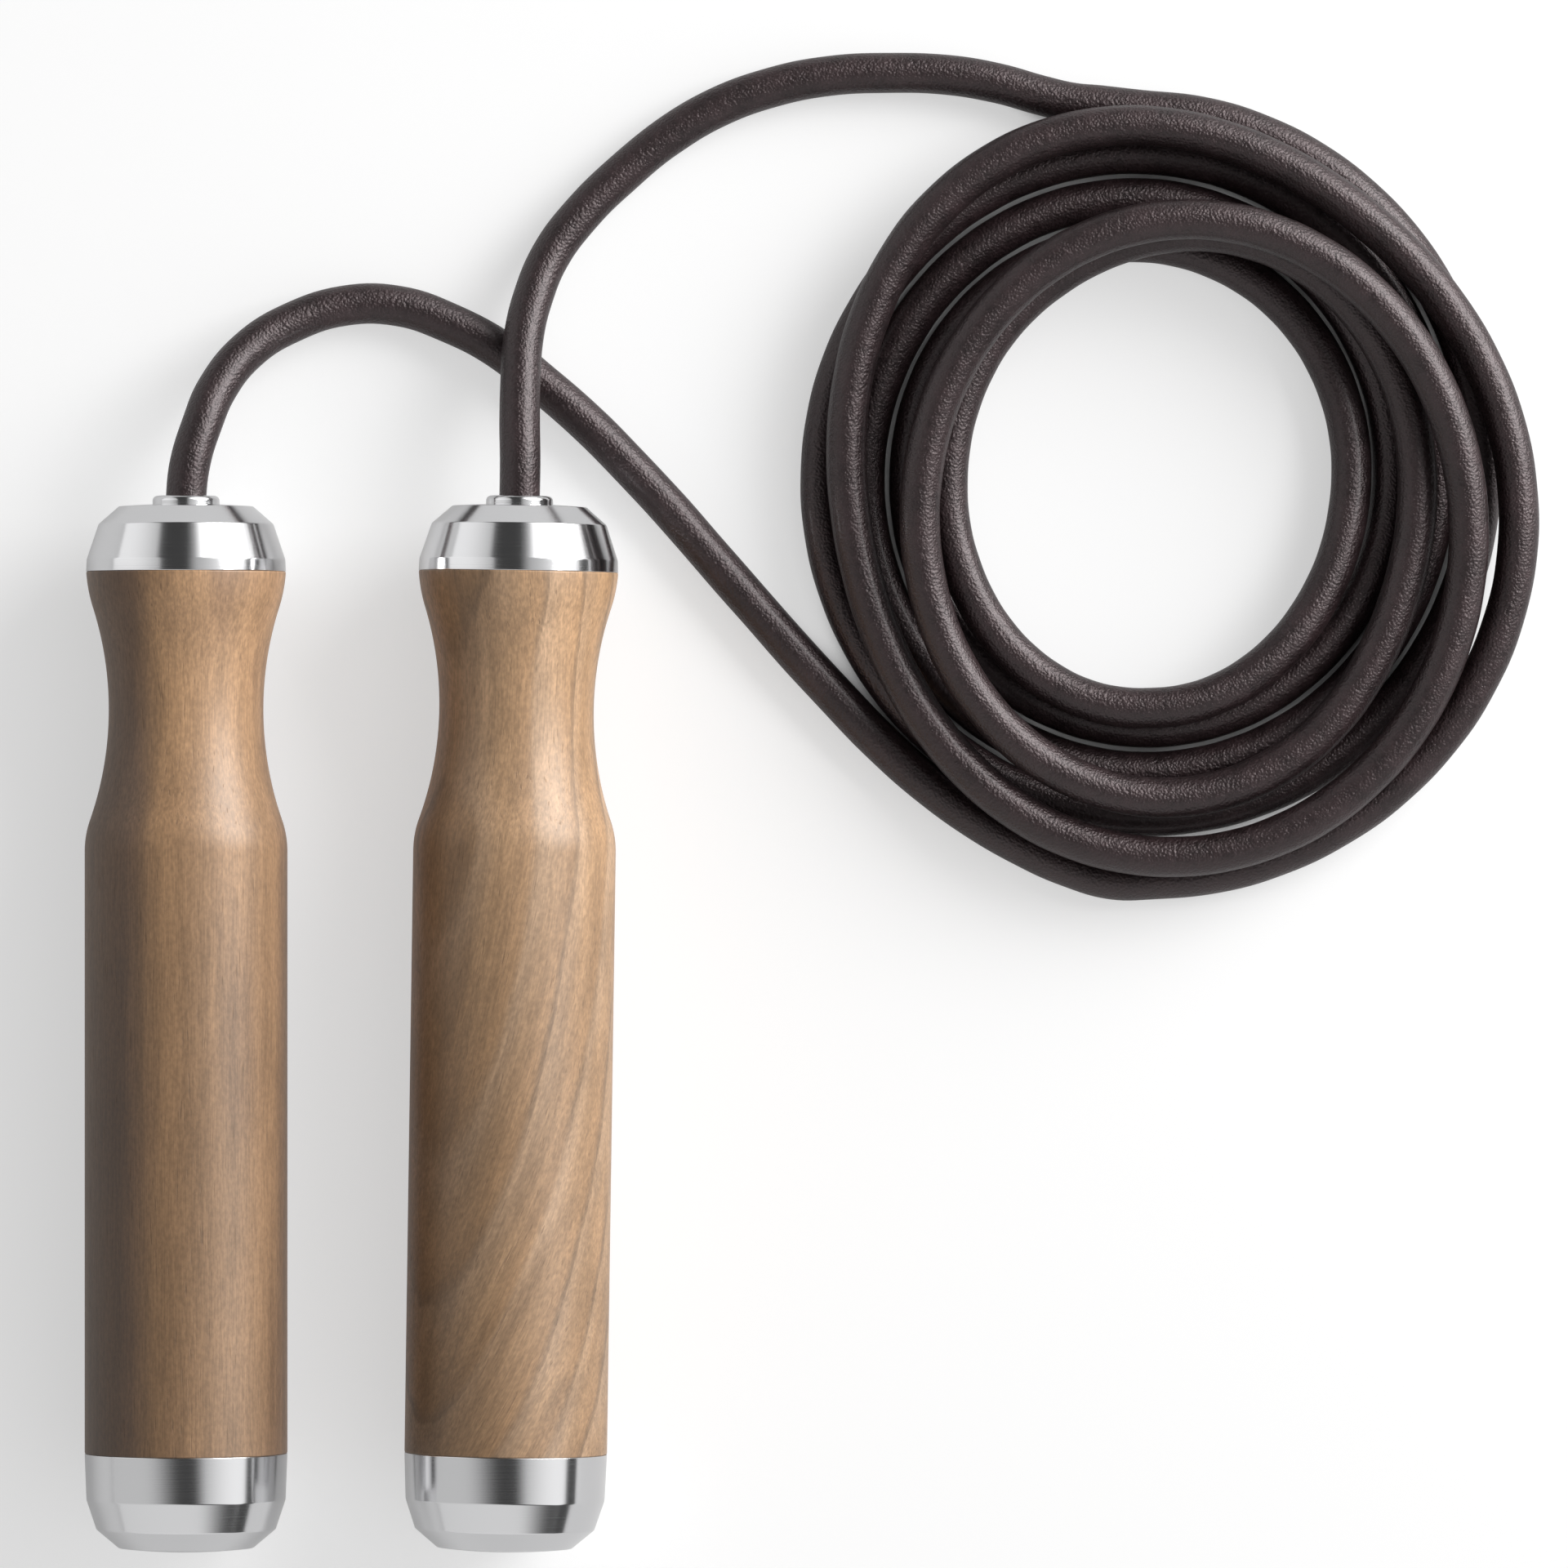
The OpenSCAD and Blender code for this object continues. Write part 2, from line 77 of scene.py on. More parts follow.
# rope, in mm, along the same route as its solids
ropeSet = {
    "radius": 3.5,
    "restZ": 3.55,
    "endAt": 155.8,             # where the rope ends inside a handle
    "heldSteps": 3,             # steps of the route inside a handle
    "coilCentre": Vector((138.5, 95.6)),
    "coilDrift": Vector((4.6, -9.7)),
    "lowerShift": Vector((-2.0, -0.3)),
    "outerRadius": 68.0,
    "innerRadius": 37.5,
    "loopsIn": 3.22,            # the upper layer winds inwards, the lower one outwards again
    "loopsAll": 6.5,
    "loopPitch": 7.7,
    "layerHeight": 7.5,
    "oval": 2.8,
    "lowerOval": 1.0,
    "outerSkew": 5.2,           # the first loop isn't round
    "thirdBulge": 5.0,
    "bulge": (2.15, 2.6),       # from and to which loop, like the hump and the drop
    "humpHeight": 8.4,          # where the rope goes over its own loops
    "hump": (0.9, 2.15),
    "drop": (3.0, 3.4),
    "climbBy": 0.25,
    "tightening": 1.4,
    "turnBackSoft": 0.06,
    "pointsPerLoop": 36,
    "pointSteps": 7,            # rings between two points of the route
    "roundSteps": 9,
    "wobble": 0.07,             # how uneven the hand-cut leather is
    "wobbleSize": 9.0,
}

handleSet = {
    "length": 182.4,
    "segments": 128,
    "creaseAngle": math.radians(12),
    "edgeSteps": 2,
    "mergeWithin": 1e-7,        # m
}


def handleMatrix(side):
    joint = joints[side + "_handle_spin"]
    along = Vector(joint["axis"]).normalized()
    up = Vector((0.0, 0.0, 1.0))
    across = along.cross(up)
    start = Vector(joint["pos_m"]) - along * handleSet["length"] * mm / 2
    turn = Matrix((across, -up, along)).transposed().to_4x4()
    return Matrix.Translation(start) @ turn


handlePlace = {side: handleMatrix(side) for side in sides}


def onAxis(side, at):
    return handlePlace[side] @ Vector((0.0, 0.0, at * mm)) / mm


def ease(start, end, t):
    u = max(0.0, min(1.0, (t - start) / (end - start)))
    return u * u * (3 - 2 * u)


def hill(start, end, t):
    u = max(0.0, min(1.0, (t - start) / (end - start)))
    return math.sin(math.pi * u) ** 2


def spiralRadius(t):
    s = ropeSet
    if t < s["loopsIn"]:
        span = s["outerRadius"] - s["innerRadius"]
        return s["innerRadius"] + span * (1 - t / s["loopsIn"]) ** s["tightening"]
    back = math.hypot(t - s["loopsIn"], s["turnBackSoft"]) - s["turnBackSoft"]
    return s["innerRadius"] + s["loopPitch"] * back


def coilAt(t):
    s = ropeSet
    upper = 1 - ease(*s["drop"], t)
    drift = math.sin(math.pi * min(1.0, t / s["drop"][0]))
    middle = s["coilCentre"] + drift * s["coilDrift"] + (1 - upper) * s["lowerShift"]
    draw = s["oval"] * upper + s["lowerOval"] * (1 - upper)
    angle = 2 * math.pi * t
    skew = s["outerSkew"] * hill(0, 1, t) * math.sin(2 * angle)
    radius = spiralRadius(t) + skew + s["thirdBulge"] * hill(*s["bulge"], t)
    x = middle.x + (radius - draw) * math.sin(angle)
    y = middle.y - (radius + draw) * math.cos(angle)
    z = s["restZ"] + s["layerHeight"] * upper * ease(0, s["climbBy"], t)
    return Vector((x, y, z + s["humpHeight"] * hill(*s["hump"], t)))


def heldInHandle(side):
    steps = ropeSet["heldSteps"]
    step = (handleSet["length"] - ropeSet["endAt"]) / steps
    return [onAxis(side, ropeSet["endAt"] + step * i) for i in range(steps + 1)]


def ropeRoute():
    s = ropeSet
    z = s["restZ"]
    leftLead = [
        (-28, 97, 17.2), (-26.1, 103.5, 15.5), (-23.5, 110, 12.5), (-18.5, 116.5, 9),
        (-11, 121.5, 6), (-2, 124.5, 4.3), (7.5, 124.5, 3.7), (16.5, 121.5, z),
        (25, 117, z), (32.5, 111, z), (40, 104.5, z), (47.5, 97, z),
        (54.5, 89.5, z), (61.5, 81.5, z), (68.5, 73.5, z), (75.5, 65.5, z),
        (83, 57.4, z), (90.5, 49.5, z), (99, 41.8, z), (107.8, 35.4, z),
        (116.3, 30.5, z), (124, 27, z),
    ]
    rightLead = [
        (29, 97.5, 17.2), (28.9, 104, 16), (29, 111, 14), (29.4, 118, 11.8),
        (31, 125.5, 9.4), (34, 133, 7), (39.5, 140.5, 5.2), (46.5, 147.5, 4),
        (54.5, 154, z), (63, 159, z), (72.5, 162.5, z), (82.5, 164.5, z),
        (92.5, 165, z), (102.5, 164.7, z), (111.8, 163.2, z), (119.3, 161.1, z),
        (124.9, 159.8, z),
    ]
    count = round(s["loopsAll"] * s["pointsPerLoop"])
    coil = [coilAt(i / s["pointsPerLoop"]) for i in range(count + 1)]
    lastWay = coil[-1] - coil[-2]
    lastWay.z = 0
    straight = 2 * s["radius"]
    coilStart = coil[0] - Vector((straight, 0, 0))
    coilEnd = coil[-1] + lastWay.normalized() * straight
    toCoil = heldInHandle("left") + [Vector(p) for p in leftLead] + [coilStart]
    fromCoil = [coilEnd] + [Vector(p) for p in reversed(rightLead)] + heldInHandle("right")[::-1]
    return [p * mm for p in toCoil + coil + fromCoil]


def routeLength(points):
    return sum((b - a).length for a, b in zip(points, points[1:]))


def linkPiece(name, mesh, material, body, replaced):
    piece = bpy.data.objects.new(name, mesh)
    bpy.context.scene.collection.objects.link(piece)
    piece.data.materials.clear()
    piece.data.materials.append(material)
    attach(piece, body)
    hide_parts(*replaced)
    return piece


def makeRope(material):
    s = ropeSet
    route = ropeRoute()
    data = bpy.data.curves.new("ropeLine", "CURVE")
    data.dimensions = "3D"
    data.twist_mode = "Z_UP"
    data.bevel_depth = s["radius"] * mm
    data.bevel_resolution = s["roundSteps"]
    data.resolution_u = s["pointSteps"]
    data.use_fill_caps = True
    line = data.splines.new("BEZIER")
    line.bezier_points.add(len(route) - 1)
    for point, place in zip(line.bezier_points, route):
        point.co = place
        point.handle_left_type = point.handle_right_type = "AUTO"
    curve = bpy.data.objects.new("ropeLine", data)
    bpy.context.scene.collection.objects.link(curve)
    shown = curve.evaluated_get(bpy.context.evaluated_depsgraph_get())
    mesh = bpy.data.meshes.new_from_object(shown)
    bpy.data.objects.remove(curve)
    mesh.name = "rope"
    outward = [vertex.normal.copy() for vertex in mesh.vertices]
    for vertex, normal in zip(mesh.vertices, outward):
        uneven = noise.noise(vertex.co / (s["wobbleSize"] * mm))
        vertex.co += normal * uneven * s["wobble"] * mm
    mesh.polygons.foreach_set("use_smooth", [True] * len(mesh.polygons))
    replaced = ("rope_left_lead", "rope_coil", "rope_right_lead")
    rope = linkPiece("rope", mesh, material, "rope", replaced)
    print("rope", round(routeLength(route), 3), "m long,", len(mesh.polygons), "faces")


def addNode(tree, kind, inputs=None, **settings):
    node = tree.nodes.new("ShaderNode" + kind)
    for name, value in settings.items():
        setattr(node, name, value)
    for name, value in (inputs or {}).items():
        if isinstance(value, bpy.types.NodeSocket):
            tree.links.new(value, node.inputs[name])
        else:
            node.inputs[name].default_value = value
    return node


def remap(tree, value, start, end, low=0.0, high=1.0, kind="LINEAR"):
    return addNode(tree, "MapRange", {"Value": value, "From Min": start, "From Max": end,
                                      "To Min": low, "To Max": high}, interpolation_type=kind).outputs[0]


def smoothStep(tree, value, start, end, low=0.0, high=1.0):
    return remap(tree, value, start, end, low, high, "SMOOTHSTEP")


def combine(tree, operation, first, second):
    return addNode(tree, "Math", {0: first, 1: second}, operation=operation).outputs[0]


def scaleAndAdd(tree, value, factor, start):
    return addNode(tree, "Math", {0: value, 1: factor, 2: start}, operation="MULTIPLY_ADD").outputs[0]


def combineVectors(tree, operation, first, second):
    return addNode(tree, "VectorMath", {0: first, 1: second}, operation=operation).outputs[0]


def scaleVector(tree, vector, factor):
    return addNode(tree, "VectorMath", {0: vector, "Scale": factor}, operation="SCALE").outputs[0]


def mixColors(tree, share, first, second):
    return addNode(tree, "Mix", {0: share, 6: first, 7: second}, data_type="RGBA").outputs[2]


def addBump(tree, shader, height, strength, distance):
    bump = addNode(tree, "Bump", {"Height": height, "Strength": strength, "Distance": distance})
    tree.links.new(bump.outputs[0], shader.inputs["Normal"])


# constants go straight onto the shader's own sockets
def newMaterial(name, constants):
    material = bpy.data.materials.new(name)
    material.use_nodes = True
    tree = material.node_tree
    shader = tree.nodes["Principled BSDF"]
    for socketName, value in constants.items():
        shader.inputs[socketName].default_value = value
    return material, tree, shader


leatherSet = {
    "dark": (0.0068, 0.0035, 0.0038, 1.0),
    "light": (0.028, 0.0164, 0.0176, 1.0),
    "lightFrom": (0.75, 1.25),  # sum of patch and crease, from all dark to all light
    "patchScale": 160.0,        # per metre, like the next two
    "grainScale": 2400.0,
    "creaseScale": 700.0,
    "patchDetail": 4.0,
    "creaseDetail": 6.0,
    "creaseRoughness": 0.7,
    "creaseSpan": (0.3, 0.7),
    "roughness": (0.35, 0.46),
    "grainHeight": 0.00028,
    "grainStrength": 0.6,
    "gloss": 0.65,
    "glossTint": (1.0, 0.86, 0.87, 1.0),
    "wax": 0.2,
    "waxRoughness": 0.22,
}


def makeLeather():
    s = leatherSet
    material, tree, shader = newMaterial("waxed leather", {
        "Specular IOR Level": s["gloss"], "Specular Tint": s["glossTint"],
        "Coat Weight": s["wax"], "Coat Roughness": s["waxRoughness"]})
    place = addNode(tree, "TexCoord").outputs["Object"]
    patch = addNode(tree, "TexNoise", {"Vector": place, "Scale": s["patchScale"],
                                       "Detail": s["patchDetail"]}).outputs["Fac"]
    grain = addNode(tree, "TexVoronoi", {"Vector": place, "Scale": s["grainScale"]},
                    feature="SMOOTH_F1").outputs["Distance"]
    crease = addNode(tree, "TexNoise", {"Vector": place, "Scale": s["creaseScale"],
                                        "Detail": s["creaseDetail"],
                                        "Roughness": s["creaseRoughness"]}).outputs["Fac"]
    share = remap(tree, combine(tree, "ADD", patch, crease), *s["lightFrom"])
    tree.links.new(mixColors(tree, share, s["dark"], s["light"]), shader.inputs["Base Color"])
    dull = remap(tree, crease, *s["creaseSpan"], *s["roughness"])
    tree.links.new(dull, shader.inputs["Roughness"])
    addBump(tree, shader, combine(tree, "ADD", grain, crease), s["grainStrength"], s["grainHeight"])
    return material


makeRope(makeLeather())


# effects that several materials share; inputs and outputs are names with their kinds
def newGroup(name, inputs, outputs):
    group = bpy.data.node_groups.new(name, "ShaderNodeTree")
    for socketName, kind in inputs.items():
        group.interface.new_socket(socketName, in_out="INPUT", socket_type="NodeSocket" + kind)
    for socketName, kind in outputs.items():
        group.interface.new_socket(socketName, in_out="OUTPUT", socket_type="NodeSocket" + kind)
    return group, group.nodes.new("NodeGroupInput").outputs, group.nodes.new("NodeGroupOutput").inputs


def placeGroup(tree, group, inputs):
    return addNode(tree, "Group", inputs, node_tree=group).outputs


latheSet = {
    "detail": 3.0,
    "roughness": 0.7,
    "markSpan": (0.25, 0.75),
    "strength": 0.5,
}


def latheMarks():
    s = latheSet
    group, given, made = newGroup(
        "lathe marks",
        {"Along": "Float", "Marks Per Metre": "Float", "Polish": "Float", "Dullest": "Float"},
        {"Height": "Float", "Roughness": "Float"})
    fine = addNode(group, "TexNoise", {"W": given["Along"], "Scale": given["Marks Per Metre"],
                                       "Detail": s["detail"], "Roughness": s["roughness"]},
                   noise_dimensions="1D").outputs["Fac"]
    group.links.new(fine, made["Height"])
    dull = remap(group, fine, *s["markSpan"], given["Polish"], given["Dullest"])
    group.links.new(dull, made["Roughness"])
    return group


# noise layers of the wood: along draws a layer out along the grain, scale is per metre
figureSet = {
    "drift": {"along": 0.15, "scale": 90.0, "detail": 4.0},
    "patch": {"along": 0.25, "scale": 70.0, "detail": 2.0, "edges": (0.35, 0.62), "shades": (0.0, 1.0)},
    "curl": {"along": 0.4, "scale": 110.0, "detail": 2.0, "edges": (0.3, 0.7), "shades": (0.92, 1.08)},
    "vein": {"along": 0.04, "scale": 420.0, "detail": 3.0, "edges": (0.3, 0.7), "shades": (0.88, 1.12)},
    "fibre": {"along": 0.045, "scale": 3600.0, "detail": 2.0, "edges": (0.3, 0.7), "shades": (0.88, 1.12)},
    "fleck": {"along": 0.5, "scale": 1900.0, "detail": 2.0, "edges": (0.3, 0.7), "shades": (0.88, 1.12)},
    "pore": {"along": 0.07, "scale": 2600.0, "detail": 1.0, "edges": (0.64, 0.76), "shades": (0.0, 1.0)},
    "noiseMiddle": (0.5, 0.5, 0.5),
    "acrossOnly": (1.0, 0.0, 1.0),
    "brownEdges": (0.0, 0.45),      # shares of one growth ring, like the next three
    "ripeEdges": (0.35, 0.9),
    "lineEdges": (0.78, 0.94),
    "lineEnd": (0.0, 0.05),
    "mottleEdges": (0.42, 0.66),
    "paintedLightSpan": (-0.09, 0.06),      # m along the handle, from the rear level to the front level of painted light, darker towards the rear
    "paintedLightPower": 3.0,
    "poreShade": 0.8,
    "poreRoughness": (0.46, 0.65),
}


def layer(tree, place, name):
    s = figureSet[name]
    drawnOut = combineVectors(tree, "MULTIPLY", place, (1.0, s["along"], 1.0))
    return addNode(tree, "TexNoise", {"Vector": drawnOut, "Scale": s["scale"],
                                      "Detail": s["detail"]}).outputs


def shadeLayer(tree, place, name):
    s = figureSet[name]
    return smoothStep(tree, layer(tree, place, name)["Fac"], *s["edges"], *s["shades"])


# grain along Y that may lean and bend
def grainPlace(group, given):
    at = addNode(group, "SeparateXYZ", {0: given["Vector"]}).outputs
    lean = scaleAndAdd(group, at["Y"], given["Bend"], given["Lean"])
    across = combine(group, "SUBTRACT", at["X"], combine(group, "MULTIPLY", at["Y"], lean))
    place = addNode(group, "CombineXYZ", {"X": across, "Y": at["Y"], "Z": at["Z"]}).outputs[0]
    return place, at["Y"]


# how late in its growth ring the wood is, with rings round a pith far outside the piece
def ringShare(group, given, place, drift):
    s = figureSet
    centred = combineVectors(group, "SUBTRACT", drift["Color"], s["noiseMiddle"])
    moved = combineVectors(group, "ADD", place, scaleVector(group, centred, given["Wander"]))
    fromPith = combineVectors(group, "SUBTRACT", moved, given["Pith"])
    flat = combineVectors(group, "MULTIPLY", fromPith, s["acrossOnly"])
    radius = addNode(group, "VectorMath", {0: flat}, operation="LENGTH").outputs["Value"]
    grown = combine(group, "SUBTRACT", radius, given["First Ring"])
    ring = combine(group, "MULTIPLY", grown, given["Rings Per Metre"])
    return addNode(group, "Math", {0: ring}, operation="FRACT").outputs[0]


def walnutFigure():
    s = figureSet
    floats = ("Lean", "Bend", "Wander", "First Ring", "Rings Per Metre", "Soft Edge", "Streak", "Mottle",
              "Rear Painted Light", "Front Painted Light")
    inputs = {"Vector": "Vector", "Pith": "Vector", "Dark": "Color", "Middle": "Color", "Light": "Color"}
    inputs.update({name: "Float" for name in floats})
    outputs = {"Color": "Color", "Roughness": "Float", "Height": "Float"}
    group, given, made = newGroup("walnut figure", inputs, outputs)
    place, alongHandle = grainPlace(group, given)
    drift = layer(group, place, "drift")
    late = ringShare(group, given, place, drift)
    toNext = combine(group, "SUBTRACT", 1.0, late)
    fallsBack = smoothStep(group, toNext, 0.0, given["Soft Edge"])

    brown = combine(group, "MULTIPLY", smoothStep(group, late, *s["brownEdges"]), fallsBack)
    base = mixColors(group, brown, given["Light"], given["Middle"])
    ripe = combine(group, "MULTIPLY", smoothStep(group, late, *s["ripeEdges"]), fallsBack)
    base = mixColors(group, ripe, base, given["Dark"])
    mottle = combine(group, "MULTIPLY", given["Mottle"], smoothStep(group, drift["Fac"], *s["mottleEdges"]))
    base = mixColors(group, mottle, base, given["Dark"])

    line = smoothStep(group, late, *s["lineEdges"])
    lineEnd = smoothStep(group, toNext, *s["lineEnd"])
    for factor in (lineEnd, shadeLayer(group, place, "patch"), given["Streak"]):
        line = combine(group, "MULTIPLY", line, factor)
    # painted light: the colour is made darker towards the rear of the handle, standing in for the lamp's
    # light falling off there
    forward = combine(group, "POWER", remap(group, alongHandle, *s["paintedLightSpan"]), s["paintedLightPower"])
    shade = remap(group, forward, 0.0, 1.0, given["Rear Painted Light"], given["Front Painted Light"])
    pore = shadeLayer(group, place, "pore")
    factors = [shadeLayer(group, place, name) for name in ("curl", "vein", "fibre", "fleck")]
    factors.append(combine(group, "SUBTRACT", 1.0, line))
    factors.append(smoothStep(group, pore, 0.0, 1.0, 1.0, s["poreShade"]))
    for factor in factors:
        shade = combine(group, "MULTIPLY", shade, factor)
    group.links.new(scaleVector(group, base, shade), made["Color"])
    group.links.new(smoothStep(group, pore, 0.0, 1.0, *s["poreRoughness"]), made["Roughness"])
    group.links.new(smoothStep(group, pore, 0.0, 1.0, 1.0, 0.0), made["Height"])
    return group


lathe = latheMarks()
walnut = walnutFigure()

# each side's values go into the walnut figure's inputs by name
woodSet = {
    "left": {
        "Lean": 0.0,
        "Bend": 0.0,
        "Pith": (-0.3, 0.0, 0.0),
        "Wander": 0.006,
        "First Ring": 0.2958,
        "Rings Per Metre": 28.0,
        "Soft Edge": 0.16,
        "Streak": 0.1,
        "Mottle": 0.6,              # share of the dark colour in its patches
        # painted light: the level the colour is multiplied by at the rear and at the front of the handle
        "Rear Painted Light": 0.64,
        "Front Painted Light": 1.05,
        "Dark": (0.25, 0.148, 0.089, 1.0),
        "Middle": (0.455, 0.274, 0.151, 1.0),
        "Light": (0.45, 0.265, 0.14, 1.0),
    },
    "right": {
        "Lean": 0.276,
        "Bend": -2.0,               # per metre along the handle
        "Pith": (-0.27, 0.0, 0.23),
        "Wander": 0.005,
        "First Ring": 0.3426,
        "Rings Per Metre": 125.0,
        "Soft Edge": 0.25,
        "Streak": 0.35,
        "Mottle": 0.5,
        # painted light: the level the colour is multiplied by at the rear and at the front of the handle
        "Rear Painted Light": 0.78,
        "Front Painted Light": 1.07,
        "Dark": (0.43, 0.257, 0.137, 1.0),
        "Middle": (0.48, 0.297, 0.166, 1.0),
        "Light": (0.51, 0.332, 0.203, 1.0),
    },
}
oilSet = {
    "weight": 0.4,                  # how much of the sheen the oil finish adds
    "roughness": 0.42,
    "poreDepth": 0.00004,
    "poreStrength": 0.5,
}


def makeWood(side):
    s = oilSet
    material, tree, shader = newMaterial(side + " walnut", {
        "Coat Weight": s["weight"], "Coat Roughness": s["roughness"]})
    place = addNode(tree, "TexCoord").outputs["Object"]
    fromAxis = combineVectors(tree, "SUBTRACT", place, joints[side + "_handle_spin"]["pos_m"])
    figure = placeGroup(tree, walnut, {"Vector": fromAxis, **woodSet[side]})
    tree.links.new(figure["Color"], shader.inputs["Base Color"])
    tree.links.new(figure["Roughness"], shader.inputs["Roughness"])
    addBump(tree, shader, figure["Height"], s["poreStrength"], s["poreDepth"])
    return material


# the lathe marks' inputs by name, with the colour and the marks' depth in m
metalSet = {
    "turned steel": {
        "color": (0.8, 0.8, 0.81, 1.0),
        "marks": {"Polish": 0.09, "Dullest": 0.2, "Marks Per Metre": 5000.0},
        "depth": 0.000004,
    },
    "ground steel": {
        "color": (0.62, 0.62, 0.64, 1.0),
        "marks": {"Polish": 0.18, "Dullest": 0.32, "Marks Per Metre": 9000.0},
        "depth": 0.000003,
    },
    "machined brass": {
        "color": (0.75, 0.55, 0.27, 1.0),
        "marks": {"Polish": 0.22, "Dullest": 0.38, "Marks Per Metre": 6000.0},
        "depth": 0.000005,
    },
}


def makeMetal(name, along):
    s = metalSet[name]
    material, tree, shader = newMaterial(name, {"Base Color": s["color"], "Metallic": 1.0})
    marks = placeGroup(tree, lathe, {"Along": along(tree), **s["marks"]})
    tree.links.new(marks["Roughness"], shader.inputs["Roughness"])
    addBump(tree, shader, marks["Height"], latheSet["strength"], s["depth"])
    return material


def alongProfile(tree):
    return addNode(tree, "Attribute", attribute_name="profile").outputs["Fac"]


def alongHandles(tree):
    place = addNode(tree, "TexCoord").outputs["Object"]
    return addNode(tree, "SeparateXYZ", {0: place}).outputs["Y"]


wood = {side: makeWood(side) for side in sides}
steel = makeMetal("turned steel", alongProfile)
groundSteel = makeMetal("ground steel", alongHandles)
brass = makeMetal("machined brass", alongHandles)
print("materials made")


# pieces that are turned about a handle's axis; outlines are radius and height in mm
def turnPiece(name, outline, side, material, body, edgeWidth, closed=False):
    bm = bmesh.new()
    profile = bm.verts.layers.float.new("profile")
    verts = []
    along = 0.0
    for radius, at in outline:
        vert = bm.verts.new((radius * mm, 0.0, at * mm))
        if verts:
            along += (vert.co - verts[-1].co).length
        vert[profile] = along
        verts.append(vert)
    ends = zip(verts, verts[1:] + verts[:1]) if closed else zip(verts, verts[1:])
    edges = [bm.edges.new(pair) for pair in ends]
    bmesh.ops.spin(bm, geom=verts + edges, cent=(0, 0, 0), axis=(0, 0, 1), angle=2 * math.pi,
                   steps=handleSet["segments"], use_merge=True)
    bmesh.ops.remove_doubles(bm, verts=bm.verts, dist=handleSet["mergeWithin"])
    bmesh.ops.recalc_face_normals(bm, faces=bm.faces)
    crisp = [edge for edge in bm.edges
             if edge.is_manifold and edge.calc_face_angle() > handleSet["creaseAngle"]]
    bmesh.ops.bevel(bm, geom=crisp, offset=edgeWidth * mm, offset_type="OFFSET",
                    segments=handleSet["edgeSteps"], profile=0.5, affect="EDGES", material=-1,
                    clamp_overlap=True)
    bmesh.ops.transform(bm, matrix=handlePlace[side], verts=bm.verts)
    for face in bm.faces:
        face.smooth = True
    mesh = bpy.data.meshes.new(name)
    bm.to_mesh(mesh)
    bm.free()
    piece = linkPiece(name, mesh, material, body, [name])
    evenNormals = piece.modifiers.new("even normals", "WEIGHTED_NORMAL")
    evenNormals.mode = "FACE_AREA"


gripSet = {
    "rearSeam": 17.0,
    "frontSeam": 169.3,
    "barrelRadius": 17.5,
    "barrelEnd": 121.0,
    "waistRadius": 13.35,
    "waistAt": 145.5,
    "lipRadius": 17.3,
    "lipReach": 1.7,
    "hollowRadius": 58.0,
    "arcSteps": 20,
    "edge": 0.22,
    "rearSeat": (11.02, 23.2),      # radius and height that the bores reach
    "rearBore": (7.02, 37.4),
    "frontSeat": (13.02, 161.3),
    "frontBore": (8.5, 150.0),
}


def doubleArc(span, rise, cut):
    s = gripSet
    turn = 2 * math.atan(rise / span)
    crest = span / math.sin(turn) - s["hollowRadius"]
    last = math.asin(cut / crest)
    points = []
    for i in range(s["arcSteps"] + 1):
        a = turn * i / s["arcSteps"]
        points.append((s["hollowRadius"] * math.sin(a), s["hollowRadius"] * (1 - math.cos(a))))
    for i in range(1, s["arcSteps"] + 1):
        a = turn + (last - turn) * i / s["arcSteps"]
        points.append((span - crest * math.sin(a), rise - crest * (1 - math.cos(a))))
    return points


def makeGrip(side):
    s = gripSet
    toBarrel = doubleArc(s["waistAt"] - s["barrelEnd"], s["barrelRadius"] - s["waistRadius"], 0.0)
    toLip = doubleArc(s["frontSeam"] + s["lipReach"] - s["waistAt"], s["lipRadius"] - s["waistRadius"],
                      s["lipReach"])
    outline = [(0.0, s["rearBore"][1]), s["rearBore"], (s["rearBore"][0], s["rearSeat"][1]), s["rearSeat"],
               (s["rearSeat"][0], s["rearSeam"]), (s["barrelRadius"], s["rearSeam"])]
    outline += [(s["waistRadius"] + rise, s["waistAt"] - along) for along, rise in reversed(toBarrel)]
    outline += [(s["waistRadius"] + rise, s["waistAt"] + along) for along, rise in toLip[1:]]
    outline += [(s["frontSeat"][0], s["frontSeam"]), s["frontSeat"], (s["frontBore"][0], s["frontSeat"][1]),
                s["frontBore"], (0.0, s["frontBore"][1])]
    turnPiece(side + "_grip", outline, side, wood[side], side + "_handle", s["edge"])


rearCapSet = {
    "crownRadius": 11.7,
    "crownHeight": 0.7,
    "crownSteps": 6,
    "edgeAt": (15.5, 3.9),
    "bandFrom": (17.2, 9.0),
    "seam": (17.5, 17.0),
    "spigot": (11.0, 23.0),
    "stud": (4.0, 36.5),
    "edge": 0.12,
}


def makeRearCap(side):
    s = rearCapSet
    ball = (s["crownRadius"] ** 2 + s["crownHeight"] ** 2) / (2 * s["crownHeight"])
    reach = math.asin(s["crownRadius"] / ball)
    outline = []
    for i in range(s["crownSteps"] + 1):
        a = reach * i / s["crownSteps"]
        outline.append((ball * math.sin(a), ball * (1 - math.cos(a))))
    outline += [s["edgeAt"], s["bandFrom"], s["seam"], (s["spigot"][0], s["seam"][1]), s["spigot"],
                (s["stud"][0], s["spigot"][1]), s["stud"], (0.0, s["stud"][1])]
    turnPiece(side + "_rear_cap", outline, side, steel, side + "_handle", s["edge"])


